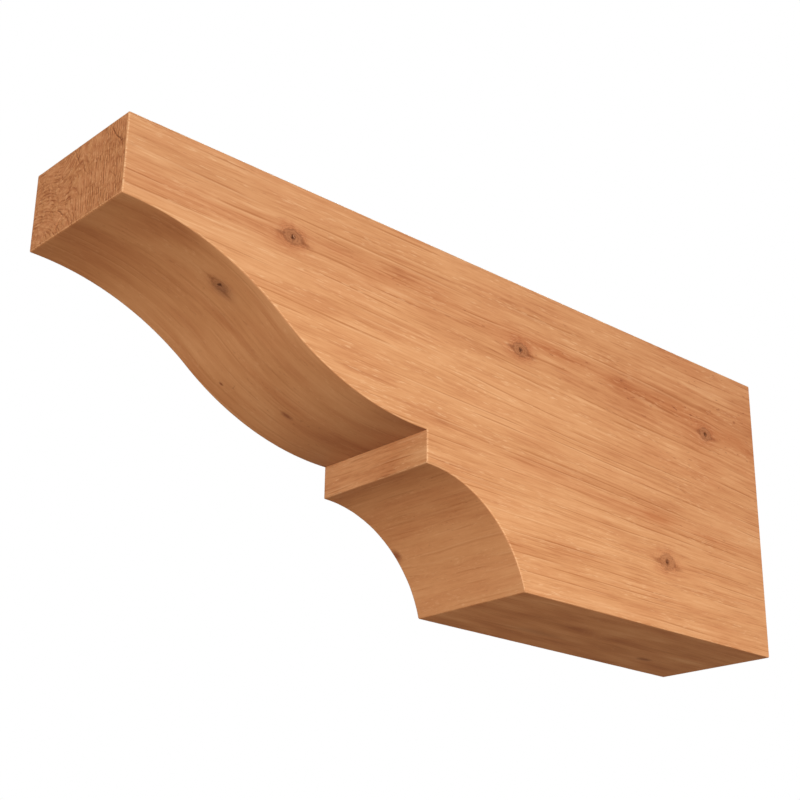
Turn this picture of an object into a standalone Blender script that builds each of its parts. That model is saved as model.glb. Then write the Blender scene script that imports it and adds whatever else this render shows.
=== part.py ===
"""A carved timber rafter tail, the decorative end that shows below the eaves of a roof.

It is one piece of dressed softwood. The underside is cut with an ogee at the nose, a small
square fillet behind it and a round cove that drops to the full depth of the timber. The back
end is sawn square to butt against the wall, and the top lies flat under the roof boards.

Metres, +Z up. The origin is the centre of the sawn back end, the nose points to -Y, and X runs
across the width of the timber.
"""

import math

import bmesh
import bpy

# Driving dimensions of the timber
WIDTH = 0.140  # the dressed width of a nominal six inch timber
LENGTH = 0.813  # from the nose to the sawn back end
ARRIS = 0.0012  # how far each outer edge is eased with sandpaper

# The carved underside, from the nose to the back
NOSE_HEIGHT = 0.073
OGEE_RUN = 0.324
OGEE_DROP = 0.109
FILLET_HEIGHT = 0.031
COVE_RUN = 0.121
COVE_DROP = 0.092

# The full depth is what the nose and the three cuts add up to
DEPTH = NOSE_HEIGHT + OGEE_DROP + FILLET_HEIGHT + COVE_DROP

# How finely the curves and the eased edges are stepped
OGEE_HALF_STEPS = 18
COVE_STEPS = 30
ARRIS_STEPS = 2
SMOOTH_ANGLE = math.radians(25)

# Finish of the wood
WOOD_COLOUR = (0.66, 0.34, 0.15, 1.0)
WOOD_ROUGHNESS = 0.55

# Two points closer than this along the outline are the same edge of the timber
SAME_PLACE = 1e-6


def clear_scene():
    """Remove whatever the file holds, so that only the rafter tail is left."""
    for leftover in list(bpy.data.objects):
        bpy.data.objects.remove(leftover)


def sagging_arc(run, drop, steps):
    """Points of an arc that leaves level and falls by drop over run, as (run, drop) pairs.

    An arc that is level where it starts has the radius (run^2 + drop^2) / (2 drop), and it turns
    through twice the angle of its chord.
    """
    radius = (run**2 + drop**2) / (2 * drop)
    turn = 2 * math.atan2(drop, run)
    points = []
    for step in range(1, steps + 1):
        angle = turn * step / steps
        points.append((radius * math.sin(angle), radius * (1 - math.cos(angle))))
    return points


def ogee(run, drop, steps):
    """An S curve of two equal arcs, level at both ends: hollow near the nose, round behind it."""
    half = sagging_arc(run / 2, drop / 2, steps)
    turned_half = [(run - along, drop - down) for along, down in reversed([(0, 0), *half[:-1]])]
    return half + turned_half


def profile():
    """The side outline as (y, z), from the top of the nose down and back to the top again."""
    top = DEPTH / 2
    nose = -LENGTH
    outline = [(nose, top), (nose, top - NOSE_HEIGHT)]

    def cut(points):
        start_y, start_z = outline[-1]
        outline.extend((start_y + along, start_z - down) for along, down in points)

    cut(ogee(OGEE_RUN, OGEE_DROP, OGEE_HALF_STEPS))
    cut([(0, FILLET_HEIGHT)])
    cut(sagging_arc(COVE_RUN, COVE_DROP, COVE_STEPS))
    outline.append((0, outline[-1][1]))
    outline.append((0, top))
    return outline


def at_back_end(edge):
    """True for an edge of the sawn back end, which is left sharp to butt against the wall."""
    return all(abs(vertex.co.y) < SAME_PLACE for vertex in edge.verts)


def ease_outer_edges(solid):
    """Weigh each outer edge for the Bevel: not the inner corner, the back end or the curves."""
    weight = solid.edges.layers.float.new("bevel_weight_edge")
    for edge in solid.edges:
        turn = edge.calc_face_angle_signed()
        outer = turn > SMOOTH_ANGLE
        edge[weight] = float(outer and not at_back_end(edge))


def timber_mesh():
    """The profile as one face, extruded across the width of the timber."""
    solid = bmesh.new()
    corners = [solid.verts.new((-WIDTH / 2, y, z)) for y, z in profile()]
    side = solid.faces.new(corners)
    swept = bmesh.ops.extrude_face_region(solid, geom=[side])
    far_corners = [item for item in swept["geom"] if isinstance(item, bmesh.types.BMVert)]
    bmesh.ops.translate(solid, verts=far_corners, vec=(WIDTH, 0, 0))
    bmesh.ops.recalc_face_normals(solid, faces=solid.faces)
    ease_outer_edges(solid)

    mesh = bpy.data.meshes.new("rafter_tail")
    solid.to_mesh(mesh)
    solid.free()
    mesh.shade_smooth()
    mesh.set_sharp_from_angle(angle=SMOOTH_ANGLE)
    return mesh


def wood():
    """Clear finished softwood, warm orange brown."""
    material = bpy.data.materials.new("clear_finished_softwood")
    material.use_nodes = True
    shader = material.node_tree.nodes["Principled BSDF"]
    shader.inputs["Base Color"].default_value = WOOD_COLOUR
    shader.inputs["Roughness"].default_value = WOOD_ROUGHNESS
    shader.inputs["Metallic"].default_value = 0.0
    material.diffuse_color = WOOD_COLOUR
    return material


def rafter_tail():
    """The one timber, with its outer edges eased by a Bevel modifier."""
    timber = bpy.data.objects.new("rafter_tail", timber_mesh())
    timber.data.materials.append(wood())
    bpy.context.scene.collection.objects.link(timber)
    easing = timber.modifiers.new("eased_edges", "BEVEL")
    easing.limit_method = "WEIGHT"
    easing.width = ARRIS
    easing.segments = ARRIS_STEPS
    return timber


clear_scene()
rafter_tail()
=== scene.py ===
import math

import bmesh
import bpy
import numpy as np
from mathutils import Matrix, Vector, noise


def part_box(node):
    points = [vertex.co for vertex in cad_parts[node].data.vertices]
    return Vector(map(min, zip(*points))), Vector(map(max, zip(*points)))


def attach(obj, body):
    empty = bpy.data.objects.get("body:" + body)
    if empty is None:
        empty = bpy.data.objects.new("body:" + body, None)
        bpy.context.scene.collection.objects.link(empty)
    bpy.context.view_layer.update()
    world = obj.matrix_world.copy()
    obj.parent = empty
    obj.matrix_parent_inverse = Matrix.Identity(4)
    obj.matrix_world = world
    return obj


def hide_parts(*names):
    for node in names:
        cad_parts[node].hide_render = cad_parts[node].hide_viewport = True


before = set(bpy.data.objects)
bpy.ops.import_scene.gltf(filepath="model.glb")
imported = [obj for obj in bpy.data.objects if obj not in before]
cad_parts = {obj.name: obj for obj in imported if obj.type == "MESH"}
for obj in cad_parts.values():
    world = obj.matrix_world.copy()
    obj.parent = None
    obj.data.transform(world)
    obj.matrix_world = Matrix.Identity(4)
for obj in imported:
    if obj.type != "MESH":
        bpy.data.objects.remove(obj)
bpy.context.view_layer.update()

# The camera
# It stands below the nose and looks up along the timber, so that the carved underside and one
# side show, as they do to someone who walks in under the eaves.
camera_place = Vector((0.99203, -1.35444, -0.51348))
camera_aim = Vector((-0.01888, -0.44151, 0.03729))
camera_tilt = math.radians(0.82)
focal_pixels = 1551.2
picture_pixels = 800
camera_data = bpy.data.cameras.new("camera")
camera_data.sensor_width = 36.0
camera_data.lens = focal_pixels / picture_pixels * camera_data.sensor_width
camera = bpy.data.objects.new("camera", camera_data)
bpy.context.collection.objects.link(camera)
camera.location = camera_place
looking = (camera_aim - camera_place).to_track_quat("-Z", "Y").to_matrix()
camera.rotation_euler = (looking @ Matrix.Rotation(camera_tilt, 3, "Z")).to_euler()
bpy.context.scene.camera = camera
bpy.context.scene.view_settings.view_transform = "Standard"


def add_node(tree, kind, inputs=None, **settings):
    """Adds one shader node. An input is a value to set or a socket to link."""
    node = tree.nodes.new("ShaderNode" + kind)
    for name, value in settings.items():
        setattr(node, name, value)
    for key, value in (inputs or {}).items():
        if isinstance(value, bpy.types.NodeSocket):
            tree.links.new(value, node.inputs[key])
        else:
            node.inputs[key].default_value = value
    return node


# The studio
# A white room with one large soft lamp to the right of the camera and a second one high behind
# the timber for its other sides. The pale floor lies well below, as the timber hangs by its end.
room_light = (0.33, 0.30, 0.265, 1.0)
floor_light = (0.275, 0.190, 0.118, 1.0)
floor_white = (0.95, 0.95, 0.95, 1.0)
floor_height = -2.2
world = bpy.data.worlds.new("white_room")
bpy.context.scene.world = world
world.use_nodes = True
tree = world.node_tree
tree.nodes.clear()
ray = add_node(tree, "LightPath")
seen = add_node(tree, "Background", {"Color": (1.0, 1.0, 1.0, 1.0)})
lit = add_node(tree, "Background", {"Color": room_light})
either = add_node(tree, "MixShader", {0: ray.outputs["Is Camera Ray"], 1: lit.outputs[0]})
tree.links.new(seen.outputs[0], either.inputs[2])
add_node(tree, "OutputWorld", {"Surface": either.outputs[0]})

timber_middle = Vector((0.0, -0.4065, 0.0))  # half its length out from the back end


def soft_lamp(name, towards, distance, size, watts):
    """A square softbox that faces the middle of the timber from the given direction."""
    data = bpy.data.lights.new(name, "AREA")
    data.shape = "SQUARE"
    data.size = size
    data.energy = watts
    lamp = bpy.data.objects.new(name, data)
    bpy.context.collection.objects.link(lamp)
    lamp.location = timber_middle + Vector(towards).normalized() * distance
    lamp.rotation_euler = (timber_middle - lamp.location).to_track_quat("-Z", "Y").to_euler()


soft_lamp("key_lamp", (0.865, -0.485, -0.13), distance=6.0, size=3.0, watts=338)
soft_lamp("back_lamp", (-0.60, 0.50, 0.62), distance=4.0, size=2.6, watts=110)

bpy.ops.object.select_all(action="DESELECT")
bpy.ops.mesh.primitive_plane_add(size=30.0, location=(0, 0, floor_height))
floor = bpy.context.object
floor.name = "floor"
floor_paint = bpy.data.materials.new("pale_floor")
floor_paint.use_nodes = True
tree = floor_paint.node_tree
surface = tree.nodes["Principled BSDF"]
surface.inputs["Base Color"].default_value = (0.0, 0.0, 0.0, 1.0)
surface.inputs["Roughness"].default_value = 1.0
surface.inputs["Specular IOR Level"].default_value = 0.0
surface.inputs["Emission Strength"].default_value = 1.0
ray = add_node(tree, "LightPath")
tint = add_node(tree, "Mix", {0: ray.outputs["Is Camera Ray"]}, data_type="RGBA")
tint.inputs[6].default_value = floor_light
tint.inputs[7].default_value = floor_white
tree.links.new(tint.outputs[2], surface.inputs["Emission Color"])
floor.data.materials.append(floor_paint)


# The timber
# One piece of dressed softwood. Its underside is band-sawn to a pattern of an ogee, a square
# fillet and a round cove, and the sawn faces are sanded smooth like the planed ones.
low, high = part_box("rafter_tail")
width = high.x - low.x
nose_height = 0.073
ogee_run = 0.324
ogee_drop = 0.109
fillet_height = 0.031
cove_run = 0.121
ogee_steps = 48  # for each of its two arcs
cove_steps = 40
flat_steps = 50
upper_rows = 44
lower_rows = 28
across_steps = 16

nose_z = high.z - nose_height
inner_corner = Vector((low.x, low.y + ogee_run, nose_z - ogee_drop))
fillet_foot = inner_corner - Vector((0, 0, fillet_height))
cove_drop = fillet_foot.z - low.z


def arc_of(run, drop):
    """Radius and turn of an arc that starts level and drops by drop along run."""
    return (run * run + drop * drop) / (2 * drop), 2 * math.atan2(drop, run)


ogee_radius, ogee_turn = arc_of(ogee_run / 2, ogee_drop / 2)
cove_radius, cove_turn = arc_of(cove_run, cove_drop)
cove_end_y = fillet_foot.y + cove_run


def pick(kind, wanted):
    """In edit mode, selects just the vertices, edges or faces that wanted is true for."""
    bpy.ops.mesh.select_mode(type=kind)
    bpy.ops.mesh.select_all(action="DESELECT")
    mesh = bmesh.from_edit_mesh(bpy.context.object.data)
    for item in {"VERT": mesh.verts, "EDGE": mesh.edges, "FACE": mesh.faces}[kind]:
        if wanted(item):
            item.select_set(True)
    mesh.select_flush_mode()
    bmesh.update_edit_mesh(bpy.context.object.data)


def near(value, target, slack=1e-5):
    """True for two measures that differ by less than slack."""
    return abs(value - target) < slack


def runs_along(edge, axis):
    """True for an edge that is parallel to axis 0, 1 or 2."""
    line = edge.verts[1].co - edge.verts[0].co
    return abs(line[axis]) > 0.999 * line.length


# The pattern is traced on the far side, cove and flat first. Pulled up to the height of the
# inner corner, they are the lower half of the side.
bpy.ops.object.select_all(action="DESELECT")
bpy.ops.mesh.primitive_plane_add(size=0.01, location=(0, 0, 0))
timber = bpy.context.object
timber.name = "timber"
timber.data.name = "timber"
bpy.ops.object.mode_set(mode="EDIT")
bpy.ops.mesh.select_all(action="SELECT")
bpy.ops.mesh.merge(type="CENTER")
bpy.ops.transform.translate(value=fillet_foot)
bpy.ops.mesh.spin(
    steps=cove_steps,
    angle=cove_turn,
    center=fillet_foot - Vector((0, 0, cove_radius)),
    axis=(1, 0, 0),
)
flat_step = (high.y - cove_end_y) / flat_steps
for step in range(flat_steps):
    bpy.ops.mesh.extrude_region_move(TRANSFORM_OT_translate={"value": (0, flat_step, 0)})
bpy.ops.mesh.select_all(action="SELECT")
bpy.ops.mesh.extrude_region_move(TRANSFORM_OT_translate={"value": (0, 0, fillet_height)})
bpy.ops.transform.resize(value=(1, 1, 0), center_override=inner_corner)
pick("EDGE", lambda edge: runs_along(edge, 2))
bpy.ops.mesh.subdivide(number_cuts=lower_rows)

# The ogee starts level at the inner corner, and its second arc ends level at the nose
pick("VERT", lambda vert: (vert.co - inner_corner).length < 1e-5)
bpy.ops.mesh.spin(
    steps=ogee_steps,
    angle=ogee_turn,
    center=inner_corner + Vector((0, 0, ogee_radius)),
    axis=(1, 0, 0),
)
bpy.ops.mesh.spin(
    steps=ogee_steps,
    angle=-ogee_turn,
    center=(low.x, low.y, nose_z - ogee_radius),
    axis=(1, 0, 0),
)


def on_upper_line(edge):
    """True for the edges of the ogee and of the level line behind it."""
    middle = (edge.verts[0].co + edge.verts[1].co) / 2
    return not edge.link_faces or near(middle.z, inner_corner.z)


pick("EDGE", on_upper_line)
bpy.ops.mesh.extrude_region_move(TRANSFORM_OT_translate={"value": (0, 0, nose_height)})
bpy.ops.transform.resize(value=(1, 1, 0), center_override=(0, 0, high.z))
pick("EDGE", lambda e: runs_along(e, 2) and max(v.co.z for v in e.verts) > inner_corner.z + 1e-5)
bpy.ops.mesh.subdivide(number_cuts=upper_rows)

# The side is pulled across to the timber's width, and the new faces are marked off in strips
bpy.ops.mesh.select_all(action="SELECT")
bpy.ops.mesh.extrude_region_move(TRANSFORM_OT_translate={"value": (width, 0, 0)})
pick("EDGE", lambda edge: runs_along(edge, 0))
bpy.ops.mesh.subdivide(number_cuts=across_steps - 1)
bpy.ops.mesh.select_all(action="SELECT")
bpy.ops.mesh.normals_make_consistent(inside=False)

# Every outer arris is eased with sandpaper. The inner corner and the sawn back end stay sharp.
arris_width = 0.0012


def outer_arris(edge):
    """True for a sharp edge that is neither at the back end nor in the inner corner."""
    if len(edge.link_faces) != 2 or edge.calc_face_angle() < math.radians(30):
        return False
    at_back = all(near(vert.co.y, high.y, 1e-4) for vert in edge.verts)
    in_corner = all(
        near(vert.co.y, inner_corner.y, 1e-4) and near(vert.co.z, inner_corner.z, 1e-4)
        for vert in edge.verts
    )
    return not at_back and not in_corner


pick("EDGE", outer_arris)
bpy.ops.mesh.bevel(offset=arris_width, segments=3, profile=0.5, affect="EDGES", clamp_overlap=False)
bpy.ops.object.mode_set(mode="OBJECT")
eased = timber.data.attributes.new("eased", "FLOAT", "FACE")
eased_faces = np.zeros(len(timber.data.polygons), dtype=bool)
timber.data.polygons.foreach_get("select", eased_faces)
eased.data.foreach_set("value", eased_faces.astype(np.float32))

# The knots. A knot is a branch that the saw has cut across: a hard brown oval with its own fine
# rings and a dark heart that has shrunk open. Each row gives its place along and across the
# grain of its face, half its length, half its height, and how dark it is. The palest rows are
# only smears, where a branch lies just under the surface.
knots = {
    "near": [
        (-0.6455, 0.1020, 0.0100, 0.0070, 1.0),
        (-0.3685, 0.0835, 0.0100, 0.0070, 1.0),
        (-0.0855, 0.0730, 0.0095, 0.0068, 0.9),
        (-0.1615, -0.0825, 0.0118, 0.0082, 0.75),
    ],
    "far": [
        (-0.5180, 0.0960, 0.0095, 0.0066, 0.9),
        (-0.2410, 0.0480, 0.0105, 0.0072, 0.9),
        (-0.1120, -0.0640, 0.0090, 0.0062, 0.8),
    ],
    "top": [
        (-0.5560, 0.0240, 0.0090, 0.0060, 0.9),
        (-0.1730, -0.0220, 0.0080, 0.0055, 0.8),
    ],
    "ogee": [
        (0.1230, 0.0370, 0.0080, 0.0056, 0.58),
        (0.2600, -0.0196, 0.0060, 0.0028, 0.40),
        (0.2030, -0.0485, 0.0022, 0.0014, 0.48),
    ],
    "bottom": [
        (-0.0840, -0.0277, 0.0100, 0.0040, 0.40),
    ],
    "cove": [
        (-0.0665, 0.0985, 0.0050, 0.0060, 0.42),
    ],
}
palest_knot = 0.5
ogee_arc = ogee_radius * ogee_turn


def on_pattern(face, along):
    """The point (y, z) that lies so far along the ogee or the cove, measured on the surface."""
    if face == "cove":
        turn = along / cove_radius
        drop = cove_radius * (1 - math.cos(turn))
        return fillet_foot.y + cove_radius * math.sin(turn), fillet_foot.z - drop
    turn = min(along, 2 * ogee_arc - along) / ogee_radius
    run = ogee_radius * math.sin(turn)
    drop = ogee_radius * (1 - math.cos(turn))
    if along < ogee_arc:
        return low.y + run, nose_z - drop
    return inner_corner.y - run, inner_corner.z + drop


def knot_place(face, along, across):
    """Where the heart of a knot is in space."""
    if face in ("near", "far"):
        return Vector((high.x if face == "near" else low.x, along, across))
    if face in ("top", "bottom"):
        return Vector((across, along, high.z if face == "top" else low.z))
    if face == "cove":
        return Vector((along, *on_pattern(face, across)))
    return Vector((across, *on_pattern(face, along)))


# The mesh is made finer round each knot, in steps, and over the end of the nose
nose_margin = 0.002
bpy.ops.object.mode_set(mode="EDIT")
for face, rows in knots.items():
    for along, across, reach, height, dark in rows:
        if dark < palest_knot:
            continue
        place = knot_place(face, along, across)
        for share in (2.6, 1.9, 1.3, 0.6) if face in ("near", "ogee") else (2.4, 1.6, 0.8):
            radius = share * reach + 0.001
            pick("FACE", lambda f: (f.calc_center_median() - place).length < radius)
            bpy.ops.mesh.subdivide(number_cuts=1)


def inside_nose(item):
    """True for what lies on the nose's end, clear of its edges."""
    return all(
        near(vert.co.y, low.y)
        and abs(vert.co.x) < high.x - nose_margin
        and nose_z + nose_margin < vert.co.z < high.z - nose_margin
        for vert in item.verts
    )


pick("EDGE", lambda edge: inside_nose(edge) and runs_along(edge, 0))
bpy.ops.mesh.subdivide(number_cuts=9)
pick("EDGE", lambda edge: inside_nose(edge) and runs_along(edge, 2))
bpy.ops.mesh.subdivide(number_cuts=2)
bpy.ops.object.mode_set(mode="OBJECT")

# What the plane, the sander and drying have left: knots hollow at the rim with hearts that gape,
# short splits in the end of the nose, and faces and arrises not quite even. All of it goes
# inwards, as a weight that a Displace modifier turns into depth.
deepest = 0.0015
rim_depth = 0.00012
hollow_depth = 0.00010
heart_depth = 0.0010
heart_half_length = 0.0016
heart_half_height = 0.0019
tick_depth = 0.0004
tick_half_width = 0.00035
end_grain_depth = 0.00006
split_depth = 0.0006
arris_depth = 0.00016
splits = [
    [(-0.0085, 0.1475), (-0.0072, 0.1440), (-0.0040, 0.1400), (-0.0022, 0.1358)],
    [(0.0462, 0.1480), (0.0490, 0.1430), (0.0540, 0.1365), (0.0590, 0.1325), (0.0625, 0.1275)],
    [(-0.0300, 0.1030), (-0.0255, 0.1000), (-0.0205, 0.0950)],
    [(-0.0205, 0.0950), (-0.0262, 0.0900), (-0.0297, 0.0858)],
]
mesh = timber.data
count = len(mesh.vertices)
points = np.zeros(count * 3)
mesh.vertices.foreach_get("co", points)
points = points.reshape(-1, 3)


def smooth_step(low_edge, high_edge, values):
    """0 below low_edge, 1 above high_edge, smooth in between."""
    share = np.clip((values - low_edge) / (high_edge - low_edge), 0, 1)
    return share * share * (3 - 2 * share)


def along_pattern(y, z):
    """How far points of the underside lie along the ogee, down the fillet and along the cove."""
    first = np.arcsin(np.clip((y - low.y) / ogee_radius, 0, 1))
    second = 2 * ogee_turn - np.arcsin(np.clip((inner_corner.y - y) / ogee_radius, 0, 1))
    ogee = ogee_radius * np.where(y < low.y + ogee_run / 2, first, second)
    fillet = np.clip(inner_corner.z - z, 0, fillet_height)
    cove = cove_radius * np.arcsin(np.clip((y - fillet_foot.y) / cove_radius, 0, 1))
    return ogee, fillet, cove


def flat_places(face, where):
    """Points in the flat measures of one face: along the grain, and across it."""
    x, y, z = where.T
    ogee, _, cove = along_pattern(y, z)
    if face in ("near", "far"):
        return y, z
    if face in ("top", "bottom"):
        return y, x
    return (ogee, x) if face == "ogee" else (x, cove)


def to_segment(px, pz, start, end):
    """Distance of points from a straight stroke."""
    ax, az = start
    dx, dz = end[0] - ax, end[1] - az
    share = np.clip(((px - ax) * dx + (pz - az) * dz) / (dx * dx + dz * dz), 0, 1)
    return np.hypot(px - ax - share * dx, pz - az - share * dz)


depth = np.zeros(count)
gaping = np.zeros(count)
for face, rows in knots.items():
    for along, across, reach, height, dark in rows:
        if dark < palest_knot:
            continue
        place = np.array(knot_place(face, along, across))
        close = np.linalg.norm(points - place, axis=1) < 2 * reach
        a, b = flat_places(face, points[close])
        a = a - along
        b = b - across
        r = np.hypot(a / reach, b / height)
        rim = rim_depth * np.exp(-(((r - 1.0) / 0.12) ** 2))
        hollow = hollow_depth * (1 - smooth_step(0.2, 0.95, r))
        wobble = 1 + 0.25 * np.sin(3 * np.arctan2(b, a) + 40 * along)
        out_from_heart = np.hypot(a / heart_half_length, b / heart_half_height) * wobble
        heart = 1 - smooth_step(0.55, 1.25, out_from_heart)
        tick = np.exp(-((a / tick_half_width) ** 2)) * smooth_step(-0.85, -0.6, b / height)
        tick = tick * (1 - smooth_step(-0.35, -0.1, b / height))
        depth[close] += dark * (rim + hollow + heart_depth * heart + tick_depth * tick)
        gaping[close] = np.maximum(gaping[close], np.clip(heart + 0.55 * tick, 0, 1) * dark)

on_nose = np.abs(points[:, 1] - low.y) < 1e-5
nose_x = points[on_nose, 0]
nose_up = points[on_nose, 2]
unrest = np.array([noise.noise(Vector((x * 260, 3.1, z * 160))) for x, z in zip(nose_x, nose_up)])
nose_depth = end_grain_depth * np.clip(0.4 + unrest, 0, 1)
nose_gaping = np.zeros(len(nose_x))
for stroke in splits:
    for start, end in zip(stroke, stroke[1:]):
        open_here = 1 - smooth_step(0.0002, 0.0007, to_segment(nose_x, nose_up, start, end))
        nose_gaping = np.maximum(nose_gaping, open_here)
inner = smooth_step(0.0, 0.003, np.minimum(high.x - np.abs(nose_x), high.z - nose_up))
inner = inner * smooth_step(0.0, 0.003, nose_up - nose_z)
depth[on_nose] += (nose_depth + split_depth * nose_gaping) * inner
gaping[on_nose] = np.maximum(gaping[on_nose], nose_gaping * inner)

eased_point = np.zeros(count, dtype=bool)
for polygon in mesh.polygons:
    if mesh.attributes["eased"].data[polygon.index].value > 0.5:
        eased_point[list(polygon.vertices)] = True
for index in np.flatnonzero(eased_point):
    x, y, z = points[index]
    uneven = noise.noise(Vector((x * 60, y * 60, z * 60))) + 0.5 * noise.noise(Vector((x, y, z)) * 210)
    depth[index] += arris_depth * max(0.0, uneven)

worn = timber.vertex_groups.new(name="worn")
for index in np.flatnonzero(depth > 1e-6):
    worn.add([int(index)], min(1.0, float(depth[index]) / deepest), "REPLACE")
sink = timber.modifiers.new("worn", "DISPLACE")
sink.vertex_group = "worn"
sink.direction = "NORMAL"
sink.mid_level = 0.0
sink.strength = -deepest
bpy.ops.object.select_all(action="DESELECT")
timber.select_set(True)
bpy.context.view_layer.objects.active = timber
bpy.ops.object.modifier_apply(modifier="worn")
timber.vertex_groups.clear()
bpy.ops.object.shade_smooth_by_angle(angle=math.radians(35))
even = timber.modifiers.new("even_light", "WEIGHTED_NORMAL")
even.keep_sharp = True
bpy.ops.object.modifier_apply(modifier="even_light")

# How the wood runs. Every face corner carries its place along and across the grain, its place
# in the nearest knot, how far heartwood stains it, with some painted shade in that stain, and its
# shade, which is painted shade but for two marks of the wood. The grain parts round knots.
polygon_count = len(mesh.polygons)
normals = np.zeros(polygon_count * 3)
centres = np.zeros(polygon_count * 3)
mesh.polygons.foreach_get("normal", normals)
mesh.polygons.foreach_get("center", centres)
normals = normals.reshape(-1, 3)
centres = centres.reshape(-1, 3)
facing = 0.65  # the share of its normal from which a face counts as turned that way
sideways = np.abs(normals[:, 0]) > facing
ends = np.abs(normals[:, 1]) > facing
above = ~sideways & (normals[:, 2] > 0.6)
on_fillet = ~sideways & ends & (np.abs(centres[:, 1] - inner_corner.y) < 0.001)
on_cove = ~sideways & (centres[:, 2] < fillet_foot.z + 0.0005) & (centres[:, 1] < cove_end_y)
on_cove &= centres[:, 1] > fillet_foot.y - 0.0005
on_ends = ends & ~sideways & ~on_fillet & ~on_cove
on_bottom = ~sideways & ~on_cove & (centres[:, 2] < low.z + 0.0005)
faces = {
    "near": sideways & (normals[:, 0] > 0),
    "far": sideways & (normals[:, 0] < 0),
    "top": above,
    "end": on_ends & (centres[:, 1] < low.y + 0.002),
    "back": on_ends & (centres[:, 1] > high.y - 0.002),
    "fillet": on_fillet & ~on_cove,
    "cove": on_cove,
    "bottom": on_bottom & ~on_ends,
}
taken = np.zeros(polygon_count, dtype=bool)
for mask in faces.values():
    taken |= mask
faces["ogee"] = ~taken
# Which of the finishes below each face has, in the order in which they are added. The order of
# the rows also gives each face a pattern of its own.
finishes = {
    "near": 0,
    "far": 0,
    "top": 0,
    "bottom": 1,
    "ogee": 2,
    "cove": 3,
    "fillet": 4,
    "end": 5,
    "back": 6,
}
slots = np.zeros(polygon_count, dtype=np.int32)
for face, slot in finishes.items():
    slots[faces[face]] = slot
# Painted highlight: the eased arrises are painted paler, but not where they face the ground
painted_highlight_share = np.zeros(polygon_count, dtype=np.float32)
mesh.attributes["eased"].data.foreach_get("value", painted_highlight_share)
painted_highlight_share *= smooth_step(-0.60, -0.15, normals[:, 2])
mesh.attributes["eased"].data.foreach_set("value", painted_highlight_share)

loop_count = len(mesh.loops)
corner_vertex = np.zeros(loop_count, dtype=np.int32)
mesh.loops.foreach_get("vertex_index", corner_vertex)
totals = np.zeros(polygon_count, dtype=np.int32)
mesh.polygons.foreach_get("loop_total", totals)
corner_face = np.repeat(np.arange(polygon_count), totals)
points = np.zeros(count * 3)
mesh.vertices.foreach_get("co", points)
corners = points.reshape(-1, 3)[corner_vertex]

# Stains of the near side: place along and up the side, half length, half height, strength.
# The far side has the same ones turned round.
stains = [
    (-0.563, 0.1050, 0.055, 0.0110, 0.35),
    (-0.453, 0.1025, 0.075, 0.0100, 0.40),
    (-0.308, 0.0975, 0.045, 0.0070, 0.95),
    (-0.223, 0.0900, 0.065, 0.0060, 0.70),
    (-0.123, 0.0900, 0.030, 0.0070, 0.95),
    (-0.033, 0.0775, 0.040, 0.0150, 0.60),
    (-0.173, -0.0400, 0.0260, 0.0055, 1.10),
    (-0.078, -0.0425, 0.075, 0.0042, 0.85),
    (-0.263, -0.0225, 0.030, 0.0040, 0.35),
    (-0.4205, -0.0225, 0.020, 0.0030, 0.40),
]


def side_stain(y, z):
    """Heartwood on a tall side: two soft bands, a wash towards the back and top, and the stains."""
    along = (y - low.y) / (high.y - low.y)
    band = np.exp(-(((z - 0.105 + 0.030 * along) / 0.014) ** 2))
    second = np.exp(-(((z + 0.004 + 0.045 * along) / 0.010) ** 2)) * smooth_step(0.3, 0.7, along)
    total = 0.26 * band + 0.26 * second + 0.10 * smooth_step(0.03, 0.12, z)
    total = total + 0.31 * smooth_step(0.50, 0.95, along) * smooth_step(-0.09, 0.06, z)
    total = total + 0.10 * smooth_step(0.60, 0.95, along)
    for place, up, half_length, half_height, strength in stains:
        spot = ((y - place) / half_length) ** 2 + ((z - up) / half_height) ** 2
        total = total + strength * 0.68 * np.exp(-1.1 * spot)
    return total


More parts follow.
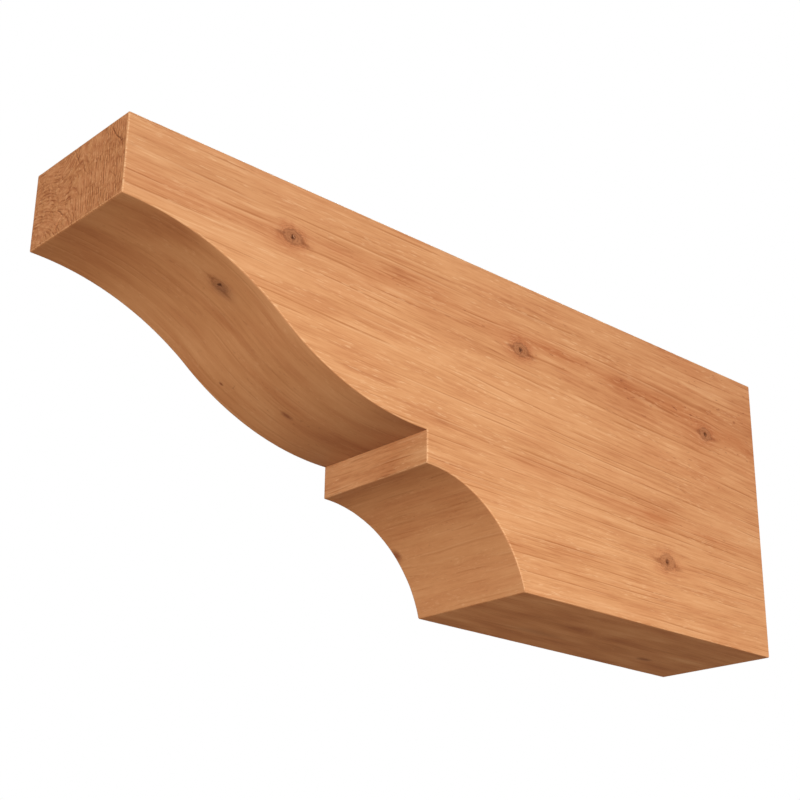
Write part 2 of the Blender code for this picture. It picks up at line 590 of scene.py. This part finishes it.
grain = np.zeros((loop_count, 3))
knot_at = np.zeros((loop_count, 3))
stain_and_painted_shade = np.zeros(loop_count)
shade = np.zeros(loop_count)
far_from_knot = 8  # in a knot's own measures, where 1 is its rim
grain_fall = 0.045  # the most that the growth lines drop from the nose to the back end
face_number = {name: index for index, name in enumerate(finishes)}
for face in finishes:
    mine = faces[face][corner_face]
    x, y, z = corners[mine].T
    ogee, fillet, cove = along_pattern(y, z)
    if face in ("near", "far"):
        share = (y - low.y) / (high.y - low.y)
        fall = grain_fall * np.cos(math.pi / 2 * np.clip((z - 0.01) / 0.16, -1, 1)) ** 2
        a, b = y, z
        slope = fall * share
    elif face == "ogee":
        a, b, slope = ogee, x, 0.0
    elif face == "cove":
        a, b, slope = x, cove, 0.0
    elif face == "fillet":
        a, b, slope = x, fillet - fillet_height, 0.0
    elif face in ("top", "bottom"):
        a, b, slope = y, x, 0.0
    else:
        a, b, slope = x, z, 0.0
    b = b.copy()
    b_true = b.copy()
    nearest = np.full(len(a), 99.0)
    u = np.zeros(len(a))
    v = np.zeros(len(a))
    power = np.zeros(len(a))
    for along, across, reach, height, dark in knots.get(face, []):
        du = (a - along) / reach
        dv = (b_true - across) / height
        r2 = du * du + dv * dv
        b -= (b_true - across) * 0.40 * np.exp(-0.34 * (du * du / 1.8 + dv * dv))
        closer = r2 < nearest
        nearest = np.where(closer, r2, nearest)
        u = np.where(closer, du, u)
        v = np.where(closer, dv, v)
        power = np.where(closer, dark, power)
    strength = power * (1 - smooth_step(4.5, 6.0, np.sqrt(nearest)))
    grain[mine, 0] = a
    grain[mine, 1] = b + slope
    grain[mine, 2] = 0.1 + 0.2 * face_number[face]
    knot_at[mine, 0] = np.clip(u, -far_from_knot, far_from_knot)
    knot_at[mine, 1] = np.clip(v, -far_from_knot, far_from_knot)
    knot_at[mine, 2] = strength

    # Stain is heartwood, but its rise towards the ogee's inner corner and towards the cove's top is
    # painted shade. Shade is painted shade, deepest in the inner corner. There is less on the near
    # side above its foot, on the flat underside, at the ogee's front, and at the cove's top. On the
    # underside's streak and the ogee's smear the same darkening is a real mark of the wood.
    if face == "near":
        stain_and_painted_shade[mine] = side_stain(y, z)
        # Painted shade: the near side darker towards its top, most towards the nose
        shade[mine] = 0.05 * smooth_step(0.02, 0.13, z) * (1.8 - smooth_step(-0.75, -0.50, y))
        shade[mine] += 0.04 * smooth_step(-0.11, -0.02, z)
    elif face == "far":
        stain_and_painted_shade[mine] = side_stain(-0.790 - y, 0.150 - 0.9 * z - 0.05)
    elif face == "bottom":
        streak = ((y + 0.2475) / 0.035) ** 2 + ((x + 0.0255) / 0.006) ** 2
        stain_and_painted_shade[mine] = 0.24 + 0.7 * np.exp(-streak)
        # Painted shade over the flat underside, more towards the back; over the streak it is a real mark
        shade[mine] = 0.05 + 0.05 * smooth_step(-0.35, -0.05, y) + 0.16 * np.exp(-streak)
    elif face == "ogee":
        stain_and_painted_shade[mine] = 0.10 + 0.20 * np.exp(-(((b + 0.01) / 0.02) ** 2)) * smooth_step(0.1, 0.3, a)
        # Painted shade: more stain towards the inner corner
        stain_and_painted_shade[mine] += 0.10 * smooth_step(1.5 * ogee_arc, 2 * ogee_arc, a)
        # Painted shade in the inner corner and at the ogee's front
        shade[mine] = 0.40 * np.exp((a - 2 * ogee_arc) / 0.050) + 0.08 * np.exp(-a / 0.06)
        # Not painted shade: a darker smear where a branch lies just under the surface
        smear = ((a - 0.1275) / 0.0110) ** 2 + ((b - 0.0355) / 0.0058) ** 2
        shade[mine] += 0.26 * np.exp(-smear)
    elif face == "cove":
        # Painted shade: more stain towards the cove's top, under the fillet, less towards its low end
        stain_and_painted_shade[mine] = 0.24 - 0.20 * smooth_step(0.05, 0.13, cove)
        # Painted shade at the cove's top, under the fillet
        shade[mine] = 0.14 * np.exp(-cove / 0.045)
    else:
        stain_and_painted_shade[mine] = 0.10


def corner_attribute(name, kind, field, values):
    """Stores a value for every face corner, for the materials to read."""
    layer = mesh.attributes.new(name, kind, "CORNER")
    layer.data.foreach_set(field, np.ascontiguousarray(values, dtype=np.float32).ravel())


corner_attribute("grain", "FLOAT_VECTOR", "vector", grain)
corner_attribute("knot", "FLOAT_VECTOR", "vector", knot_at)
corner_attribute("stain_and_painted_shade", "FLOAT", "value", stain_and_painted_shade)
corner_attribute("shade", "FLOAT", "value", shade)
layer = mesh.attributes.new("gaping", "FLOAT", "POINT")
layer.data.foreach_set("value", gaping.astype(np.float32))
mesh.polygons.foreach_set("material_index", slots)


# The wood. Planed softwood is straw and orange-brown, with thin dark latewood lines, pale
# fibres that catch the light, painted as a highlight, and redder heartwood round the knots.
def linear(red, green, blue):
    """A colour as a screen shows it, 0 to 255, as the light values that shaders take."""
    shares = [value / 255 for value in (red, green, blue)]
    light = [s / 12.92 if s <= 0.04045 else ((s + 0.055) / 1.055) ** 2.4 for s in shares]
    return (*light, 1.0)


def new_group(name, inputs, outputs):
    """An empty node group with named sockets. Each input is a name, a kind and a value."""
    group = bpy.data.node_groups.new(name, "ShaderNodeTree")
    for socket, kind, value in inputs:
        made = group.interface.new_socket(socket, in_out="INPUT", socket_type="NodeSocket" + kind)
        if value is not None:
            made.default_value = value
    for socket, kind in outputs:
        group.interface.new_socket(socket, in_out="OUTPUT", socket_type="NodeSocket" + kind)
    return group, group.nodes.new("NodeGroupInput").outputs, group.nodes.new("NodeGroupOutput").inputs


def math_node(tree, operation, first, second=0.0, third=0.0):
    """The outcome of one sum on values or sockets."""
    inputs = {0: first, 1: second, 2: third}
    return add_node(tree, "Math", inputs, operation=operation).outputs[0]


def times(tree, first, second):
    """One value or socket multiplied by another."""
    return math_node(tree, "MULTIPLY", first, second)


def ramp_between(tree, value, start, end):
    """0 where value is start, 1 where it is end, smooth in between."""
    inputs = {0: value, 1: start, 2: end, 3: 0.0, 4: 1.0}
    return add_node(tree, "MapRange", inputs, interpolation_type="SMOOTHSTEP").outputs[0]


def noise_at(tree, x, y, z, detail=2.0, roughness=0.5):
    """Soft noise, about 0.5, at a place given by three values or sockets."""
    place = add_node(tree, "CombineXYZ", {0: x, 1: y, 2: z}).outputs[0]
    inputs = {"Vector": place, "Scale": 1.0, "Detail": detail, "Roughness": roughness}
    return add_node(tree, "TexNoise", inputs).outputs["Fac"]


def mix_colour(tree, factor, first, second, blend="MIX"):
    """The first colour with the second laid over it by factor."""
    node = add_node(tree, "Mix", {0: factor}, data_type="RGBA", blend_type=blend)
    for index, value in ((6, first), (7, second)):
        if isinstance(value, bpy.types.NodeSocket):
            tree.links.new(value, node.inputs[index])
        else:
            node.inputs[index].default_value = value
    return node.outputs[2]


# Growth lines, drawn out along the grain. Faint streaks come and go along their length, thin
# dark lines follow the tree's rings, and here and there the plane has lifted fibres. The ticks
# are a painted highlight on these fibres and on a line beside each dark ring line.
lines_group, given, made = new_group(
    "growth_lines",
    [
        ("Grain", "Vector", None),
        ("Line Width", "Float", 0.0027),
        ("Line Length", "Float", 0.160),
        ("Waviness", "Float", 0.0016),
    ],
    [
        ("Streaks", "Float"),
        ("Fibres", "Float"),
        ("Bands", "Float"),
        ("Blotches", "Float"),
        ("Lines", "Float"),
        ("Ticks", "Float"),
        ("Specks", "Float"),
    ],
)
tree = lines_group
split = add_node(tree, "SeparateXYZ", {0: given["Grain"]}).outputs
own = times(tree, split[2], 57.0)
wave = noise_at(tree, times(tree, split[0], 4.0), times(tree, split[1], 14.0), split[2], 1.0)
wave = math_node(tree, "SUBTRACT", wave, 0.5)
bent = math_node(tree, "MULTIPLY_ADD", wave, given["Waviness"], split[1])
run = math_node(tree, "DIVIDE", split[0], given["Line Length"])
rise = math_node(tree, "DIVIDE", bent, given["Line Width"])


def lengthwise(along, across, offset, detail=1.0, roughness=0.5):
    """Noise stretched along the grain, so many times finer than a streak each way."""
    place = (times(tree, run, along), times(tree, rise, across), math_node(tree, "ADD", own, offset))
    return noise_at(tree, *place, detail, roughness)


swell = ramp_between(tree, lengthwise(4.2, 0.45, 0.0), 0.30, 0.62)
streaks = math_node(tree, "SUBTRACT", lengthwise(1.5, 1.1, 0.0, 2.5, 0.6), 0.5)
streaks = times(tree, streaks, math_node(tree, "MULTIPLY_ADD", swell, 1.1, 0.45))
streaks = math_node(tree, "ADD", streaks, 0.5)
fibres = lengthwise(8.0, 2.1, 0.0, 2.0, 0.6)
bands = lengthwise(0.9, 0.12, 0.0, 1.5)
blotches = noise_at(tree, times(tree, split[0], 14.0), times(tree, bent, 62.0), own, 1.5, 0.5)
thin = times(tree, ramp_between(tree, lengthwise(0.9, 1.5, 31.0), 0.60, 0.72), swell)
drift = times(tree, lengthwise(0.5, 0.10, 3.0), 2.2)
years = math_node(tree, "MULTIPLY_ADD", rise, 0.40, drift)
in_year = math_node(tree, "SUBTRACT", math_node(tree, "FRACT", years), 0.5)
clear = ramp_between(tree, lengthwise(1.3, 0.50, 9.0), 0.46, 0.66)


def year_line(place, width):
    """A line at one place in every year's growth, thinner where it fades out."""
    gap = math_node(tree, "ABSOLUTE", math_node(tree, "SUBTRACT", in_year, place))
    return ramp_between(tree, math_node(tree, "SUBTRACT", times(tree, clear, width), gap), 0.0, 0.15)


dark_lines = math_node(tree, "MAXIMUM", times(tree, thin, 0.5), year_line(0.0, 0.19))
# Painted highlight: pale ticks where the plane has lifted fibres
ticks = ramp_between(tree, lengthwise(15.0, 2.2, 5.0), 0.58, 0.72)
ticks = times(tree, ticks, ramp_between(tree, lengthwise(2.0, 0.25, 15.0), 0.44, 0.60))
# Painted highlight: a pale line beside each dark ring line, as the lit wall of a groove
ticks = math_node(tree, "MAXIMUM", ticks, times(tree, year_line(-0.22, 0.17), 0.55))
specks = ramp_between(tree, lengthwise(17.0, 1.5, 21.0), 0.68, 0.78)
for name, value in (
    ("Streaks", streaks),
    ("Fibres", fibres),
    ("Bands", bands),
    ("Blotches", blotches),
    ("Lines", dark_lines),
    ("Ticks", ticks),
    ("Specks", specks),
):
    tree.links.new(value, made[name])

# Knot wood, in a knot's own measures: 1 is its rim. The rim is soft and broken, fine rings show
# inside and just outside it, and dark tails run off along the grain, the right one lower.
knot_group, given, made = new_group(
    "knot_wood",
    [("Knot", "Vector", None), ("Fibres", "Float", 0.5)],
    [
        ("Oval", "Float"),
        ("Rings", "Float"),
        ("Heart", "Float"),
        ("Halo", "Float"),
        ("Tails", "Float"),
        ("Smear", "Float"),
    ],
)
tree = knot_group
split = add_node(tree, "SeparateXYZ", {0: given["Knot"]}).outputs
u, v, power = split
is_knot = times(tree, ramp_between(tree, power, palest_knot - 0.01, palest_knot + 0.05), power)
lumps = noise_at(tree, times(tree, u, 1.4), times(tree, v, 1.4), times(tree, power, 9.0), 2.0)
crumbs = noise_at(tree, times(tree, u, 3.2), times(tree, v, 4.5), times(tree, power, 5.0), 2.0)
lump = math_node(tree, "SUBTRACT", lumps, 0.5)
crumb = math_node(tree, "SUBTRACT", crumbs, 0.5)
flat = add_node(tree, "CombineXYZ", {0: u, 1: v}).outputs[0]
radius = add_node(tree, "VectorMath", {0: flat}, operation="LENGTH").outputs["Value"]
radius = math_node(tree, "MULTIPLY_ADD", lump, 0.6, radius)
oval = times(tree, ramp_between(tree, radius, 1.20, 0.75), is_knot)
ring = math_node(tree, "SINE", times(tree, radius, 24.0))
ring = times(tree, ramp_between(tree, ring, -0.2, 1.0), ramp_between(tree, radius, 2.0, 0.9))
ring = times(tree, times(tree, ring, is_knot), ramp_between(tree, crumbs, 0.35, 0.60))
rim = math_node(tree, "ABSOLUTE", math_node(tree, "SUBTRACT", radius, 0.95))
rim = times(tree, ramp_between(tree, rim, 0.22, 0.02), is_knot)
rim = times(tree, rim, ramp_between(tree, crumbs, 0.34, 0.56))
ring = math_node(tree, "MAXIMUM", times(tree, ring, 0.85), times(tree, rim, 0.75))
heart_place = add_node(tree, "CombineXYZ", {0: times(tree, u, 4.6), 1: times(tree, v, 2.9)}).outputs[0]
heart = add_node(tree, "VectorMath", {0: heart_place}, operation="LENGTH").outputs["Value"]
heart = math_node(tree, "MULTIPLY_ADD", crumb, 1.8, heart)
heart = times(tree, ramp_between(tree, heart, 1.6, 0.45), is_knot)
halo = times(tree, ramp_between(tree, math_node(tree, "MULTIPLY_ADD", lump, 1.8, radius), 2.7, 0.8), is_knot)
beside = math_node(tree, "ABSOLUTE", u)
tail_height = math_node(tree, "ADD", math_node(tree, "MULTIPLY_ADD", u, 0.154, v), 0.22)
tail_height = math_node(tree, "ABSOLUTE", math_node(tree, "MULTIPLY_ADD", lump, 1.0, tail_height))
tail_width = math_node(tree, "MULTIPLY_ADD", beside, -0.17, 0.70)
tails = ramp_between(tree, math_node(tree, "SUBTRACT", tail_width, tail_height), 0.0, 0.40)
tails = times(tree, tails, ramp_between(tree, beside, 0.70, 1.05))
tails = times(tree, tails, ramp_between(tree, beside, 2.7, 1.0))
tails = times(tree, tails, ramp_between(tree, given["Fibres"], 0.20, 0.50))
tails = times(tree, tails, is_knot)
smear = ramp_between(tree, math_node(tree, "MULTIPLY_ADD", crumb, 0.9, radius), 1.7, 0.1)
smear = times(tree, smear, ramp_between(tree, power, palest_knot + 0.05, palest_knot - 0.01))
smear = times(tree, smear, times(tree, power, 2.0))
for name, value in (
    ("Oval", oval),
    ("Rings", ring),
    ("Heart", heart),
    ("Halo", halo),
    ("Tails", tails),
    ("Smear", smear),
):
    tree.links.new(value, made[name])

# The whole figure of a long-grain face. Over the tone that the growth lines give lie the stain,
# with some painted shade in it, the specks, the knots and smears, the painted highlight on the
# eased arris, the dark of what gapes open, partly painted shade, and the shade, which is painted
# shade but for a smear and a streak.
figure_group, given, made = new_group(
    "softwood_figure",
    [
        ("Grain", "Vector", None),
        ("Knot", "Vector", None),
        ("Stain_and_painted_shade", "Float", 0.0),
        ("Shade", "Float", 0.0),
        ("Eased", "Float", 0.0),
        ("Gaping", "Float", 0.0),
        ("Line Width", "Float", 0.0027),
        ("Line Length", "Float", 0.160),
        ("Line Strength", "Float", 1.0),
        ("Cloudiness", "Float", 1.0),
    ],
    [("Colour", "Color"), ("Roughness", "Float"), ("Height", "Float")],
)
tree = figure_group
lines = add_node(tree, "Group", node_tree=lines_group)
for name in ("Grain", "Line Width", "Line Length"):
    tree.links.new(given[name], lines.inputs[name])
lines = lines.outputs
knot = add_node(tree, "Group", node_tree=knot_group)
tree.links.new(given["Knot"], knot.inputs["Knot"])
tree.links.new(lines["Fibres"], knot.inputs["Fibres"])
knot = knot.outputs


def swing(name, share):
    """How far a growth-line value is from its middle, times a share."""
    return times(tree, math_node(tree, "SUBTRACT", lines[name], 0.5), share)


fine = math_node(tree, "ADD", swing("Streaks", 0.50), swing("Fibres", 0.44))
cloud = math_node(tree, "ADD", swing("Bands", 0.48), swing("Blotches", 0.30))
tone = times(tree, fine, given["Line Strength"])
tone = math_node(tree, "MULTIPLY_ADD", cloud, given["Cloudiness"], tone)
tone = math_node(tree, "ADD", tone, 0.5)
tones = add_node(tree, "ValToRGB", {0: tone})
ramp = tones.color_ramp
ramp.elements[0].position = 0.15
ramp.elements[0].color = linear(186, 120, 76)
ramp.elements[1].position = 0.82
ramp.elements[1].color = linear(240, 186, 136)
for position, colour_here in ((0.34, (209, 145, 96)), (0.50, (222, 160, 109)), (0.64, (230, 170, 119))):
    ramp.elements.new(position).color = linear(*colour_here)
colour = tones.outputs[0]
rosy = ramp_between(tree, lines["Blotches"], 0.55, 0.35)
colour = mix_colour(tree, times(tree, rosy, 0.4), colour, (0.99, 0.94, 0.94, 1.0), "MULTIPLY")
line_strength = times(tree, times(tree, lines["Lines"], 0.52), given["Line Strength"])
colour = mix_colour(tree, line_strength, colour, linear(180, 110, 58))
# Painted highlight on the lifted fibres and beside the ring lines
tick_strength = times(tree, times(tree, lines["Ticks"], 0.5), given["Line Strength"])
colour = mix_colour(tree, tick_strength, colour, linear(248, 200, 152))
patchy = math_node(tree, "ADD", swing("Streaks", -1.0), swing("Blotches", -1.6))
patchy = math_node(tree, "ADD", patchy, 1.0)
stained = add_node(tree, "Math", {0: given["Stain_and_painted_shade"], 1: patchy}, operation="MULTIPLY", use_clamp=True)
# The stain, with painted shade in it towards the ogee's inner corner and the cove's top
colour = mix_colour(tree, stained.outputs[0], colour, (0.79, 0.62, 0.53, 1.0), "MULTIPLY")
speck_strength = times(tree, lines["Specks"], math_node(tree, "MULTIPLY_ADD", given["Stain_and_painted_shade"], 0.7, 0.08))
colour = mix_colour(tree, speck_strength, colour, linear(142, 74, 42))
colour = mix_colour(tree, times(tree, knot["Halo"], 0.85), colour, (0.86, 0.72, 0.68, 1.0), "MULTIPLY")
colour = mix_colour(tree, times(tree, knot["Tails"], 0.7), colour, linear(146, 82, 42))
oval_tone = mix_colour(tree, lines["Fibres"], linear(160, 100, 62), linear(194, 132, 88))
colour = mix_colour(tree, times(tree, knot["Oval"], 0.78), colour, oval_tone)
colour = mix_colour(tree, times(tree, knot["Rings"], 0.55), colour, linear(122, 66, 32))
colour = mix_colour(tree, times(tree, knot["Heart"], 0.95), colour, linear(106, 50, 4))
colour = mix_colour(tree, knot["Smear"], colour, linear(150, 86, 56))
# Painted highlight along the eased arrises, broken up by the fibres
painted_arris_highlight = times(tree, given["Eased"], ramp_between(tree, lines["Fibres"], 0.35, 0.65))
colour = mix_colour(tree, times(tree, painted_arris_highlight, 0.5), colour, linear(250, 206, 158))
# Dark where it gapes: the knot's heart is dark wood, and inside the splits it is painted shade
colour = mix_colour(tree, times(tree, given["Gaping"], 0.9), colour, linear(92, 42, 0))
# Painted shade, but for the ogee's smear and the underside's streak, which are marks of the wood
colour = mix_colour(tree, given["Shade"], colour, (0.0, 0.02, 0.04, 1.0))
tree.links.new(colour, made["Colour"])
sheen = math_node(tree, "MULTIPLY_ADD", lines["Fibres"], 0.16, 0.44)
sheen = math_node(tree, "MULTIPLY_ADD", knot["Oval"], -0.08, sheen)
tree.links.new(sheen, made["Roughness"])
relief = math_node(tree, "MULTIPLY_ADD", lines["Streaks"], 0.5, lines["Fibres"])
relief = math_node(tree, "MULTIPLY_ADD", lines["Lines"], -0.45, relief)
relief = math_node(tree, "MULTIPLY_ADD", lines["Ticks"], 0.4, relief)
relief = math_node(tree, "MULTIPLY_ADD", knot["Rings"], -0.3, relief)
tree.links.new(relief, made["Height"])


def wood_face(name, line_width, line_length, line_strength, cloudiness, relief_depth):
    """A material for one kind of long-grain face."""
    material = bpy.data.materials.new(name)
    material.use_nodes = True
    tree = material.node_tree
    surface = tree.nodes["Principled BSDF"]
    surface.inputs["Specular IOR Level"].default_value = 0.25
    figure = add_node(tree, "Group", node_tree=figure_group)
    for layer, socket in (("grain", "Grain"), ("knot", "Knot")):
        source = add_node(tree, "Attribute", attribute_name=layer)
        tree.links.new(source.outputs["Vector"], figure.inputs[socket])
    for layer in ("stain_and_painted_shade", "shade", "eased", "gaping"):
        source = add_node(tree, "Attribute", attribute_name=layer)
        tree.links.new(source.outputs["Fac"], figure.inputs[layer.capitalize()])
    figure.inputs["Line Width"].default_value = line_width
    figure.inputs["Line Length"].default_value = line_length
    figure.inputs["Line Strength"].default_value = line_strength
    figure.inputs["Cloudiness"].default_value = cloudiness
    tree.links.new(figure.outputs["Colour"], surface.inputs["Base Color"])
    tree.links.new(figure.outputs["Roughness"], surface.inputs["Roughness"])
    inputs = {"Strength": 0.6, "Distance": relief_depth, "Height": figure.outputs["Height"]}
    bump = add_node(tree, "Bump", inputs)
    tree.links.new(bump.outputs[0], surface.inputs["Normal"])
    mesh.materials.append(material)


wood_face("planed_face", 0.0027, 0.160, 1.0, 1.0, 0.0002)
wood_face("planed_underside", 0.0034, 0.110, 0.6, 2.0, 0.00015)
wood_face("sanded_ogee", 0.0040, 0.090, 0.45, 1.3, 0.00012)
wood_face("sanded_cove", 0.0030, 0.080, 0.5, 0.65, 0.00015)
wood_face("sanded_fillet", 0.0030, 0.080, 1.0, 1.2, 0.00015)


# End grain, seen at the nose and at the sawn back end. The rings run round the heart of the tree,
# flatten towards the near side, and are crossed by fine checks.
pith = Vector((-0.066, 0.052))  # its x and z, just inside the far side
rings_group, given, made = new_group(
    "end_grain_rings",
    [("Place", "Vector", None), ("Ring Gap", "Float", 0.0031), ("Unrest", "Float", 0.0045)],
    [("Rings", "Float"), ("Checks", "Float"), ("Pores", "Float"), ("Ticks", "Float"), ("Clouds", "Float")],
)
tree = rings_group
split = add_node(tree, "SeparateXYZ", {0: given["Place"]}).outputs
flat = add_node(tree, "CombineXYZ", {0: split[0], 2: split[2]}).outputs[0]
sway = add_node(tree, "TexNoise", {"Vector": flat, "Scale": 45.0, "Detail": 2.0}).outputs["Fac"]
clouds = add_node(tree, "TexNoise", {"Vector": flat, "Scale": 60.0, "Detail": 2.0}).outputs["Fac"]
flatten = math_node(tree, "MULTIPLY_ADD", ramp_between(tree, split[0], 0.035, 0.085), -0.7, 1.0)
ringed = add_node(tree, "CombineXYZ", {0: split[0], 2: times(tree, split[2], flatten)}).outputs[0]
radius = add_node(tree, "VectorMath", {0: ringed}, operation="LENGTH").outputs["Value"]
sway = math_node(tree, "SUBTRACT", sway, 0.5)
radius = math_node(tree, "MULTIPLY_ADD", sway, given["Unrest"], radius)
count_out = math_node(tree, "DIVIDE", radius, given["Ring Gap"])
year_ring = math_node(tree, "SUBTRACT", math_node(tree, "FRACT", count_out), 0.5)
year_ring = ramp_between(tree, math_node(tree, "ABSOLUTE", year_ring), 0.24, 0.04)


def along_rings(finer, across, detail=1.0):
    """The place on the end, finer by so much, and how many rings out it is, times across."""
    place = (times(tree, split[0], finer), times(tree, split[2], finer), times(tree, count_out, across))
    return (*place, detail)


broken = noise_at(tree, *along_rings(70.0, 0.45))
x, z, out, _ = along_rings(110.0, 0.50)
cell = add_node(tree, "CombineXYZ", {0: x, 1: z, 2: out}).outputs[0]
cell = add_node(tree, "TexVoronoi", {"Vector": cell, "Scale": 1.0}, feature="DISTANCE_TO_EDGE")
checks = ramp_between(tree, cell.outputs["Distance"], 0.13, 0.02)
checks = times(tree, checks, ramp_between(tree, clouds, 0.66, 0.44))
pores = noise_at(tree, *along_rings(120.0, 1.5, 2.0), 0.6)
ticks = noise_at(tree, *along_rings(330.0, 1.6))
for name, value in (
    ("Rings", times(tree, year_ring, ramp_between(tree, broken, 0.40, 0.60))),
    ("Checks", checks),
    ("Pores", pores),
    ("Ticks", ramp_between(tree, ticks, 0.58, 0.72)),
    ("Clouds", clouds),
):
    tree.links.new(value, made[name])


def end_face(name, tint, saw_marks):
    """A material for end grain. saw_marks is how plainly the saw still shows."""
    material = bpy.data.materials.new(name)
    material.use_nodes = True
    tree = material.node_tree
    surface = tree.nodes["Principled BSDF"]
    surface.inputs["Specular IOR Level"].default_value = 0.2
    surface.inputs["Roughness"].default_value = 0.7
    place = add_node(tree, "TexCoord").outputs["Object"]
    from_heart = add_node(tree, "Mapping", {"Vector": place, "Location": (-pith.x, 0.0, -pith.y)})
    ends = add_node(tree, "Group", {"Place": from_heart.outputs[0]}, node_tree=rings_group).outputs
    gaping = add_node(tree, "Attribute", attribute_name="gaping").outputs["Fac"]
    eased = add_node(tree, "Attribute", attribute_name="eased").outputs["Fac"]
    shade = math_node(tree, "MULTIPLY_ADD", math_node(tree, "SUBTRACT", ends["Pores"], 0.5), 0.95, 0.50)
    shade = math_node(tree, "MULTIPLY_ADD", ends["Rings"], -0.26, shade)
    shade = math_node(tree, "MULTIPLY_ADD", ends["Checks"], -0.15, shade)
    shade = math_node(tree, "MULTIPLY_ADD", math_node(tree, "SUBTRACT", ends["Clouds"], 0.5), 0.30, shade)
    tones = add_node(tree, "ValToRGB", {0: shade})
    ramp = tones.color_ramp
    ramp.elements[0].position = 0.12
    ramp.elements[0].color = linear(176, 108, 66)
    ramp.elements[1].position = 0.85
    ramp.elements[1].color = linear(236, 175, 122)
    ramp.elements.new(0.42).color = linear(208, 141, 92)
    rosy = ramp_between(tree, ends["Clouds"], 0.42, 0.60)
    colour = mix_colour(tree, times(tree, rosy, 0.5), tones.outputs[0], (1.0, 0.94, 0.98, 1.0), "MULTIPLY")
    colour = mix_colour(tree, times(tree, ends["Ticks"], 0.55), colour, linear(244, 184, 134))
    # Painted highlight along the eased arrises of the end
    colour = mix_colour(tree, times(tree, eased, 0.6), colour, linear(240, 188, 136))
    # Painted shade inside the splits of the end
    colour = mix_colour(tree, times(tree, gaping, 0.55), colour, linear(116, 66, 38))
    colour = mix_colour(tree, 1.0, colour, tint, "MULTIPLY")
    tree.links.new(colour, surface.inputs["Base Color"])
    height = math_node(tree, "MULTIPLY_ADD", ends["Rings"], -0.4, ends["Pores"])
    height = math_node(tree, "MULTIPLY_ADD", ends["Checks"], -0.45, height)
    if saw_marks:
        across = add_node(tree, "SeparateXYZ", {0: place}).outputs
        stroke = noise_at(tree, times(tree, across[0], 420.0), times(tree, across[2], 9.0), 0.0, 2.0)
        height = math_node(tree, "MULTIPLY_ADD", stroke, saw_marks, height)
    bump = add_node(tree, "Bump", {"Strength": 0.8, "Distance": 0.0004, "Height": height})
    tree.links.new(bump.outputs[0], surface.inputs["Normal"])
    mesh.materials.append(material)


end_face("sanded_end_grain", (1.0, 1.0, 1.0, 1.0), 0.0)
end_face("sawn_end_grain", (0.92, 0.90, 0.88, 1.0), 1.6)

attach(timber, "root")
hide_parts("rafter_tail")
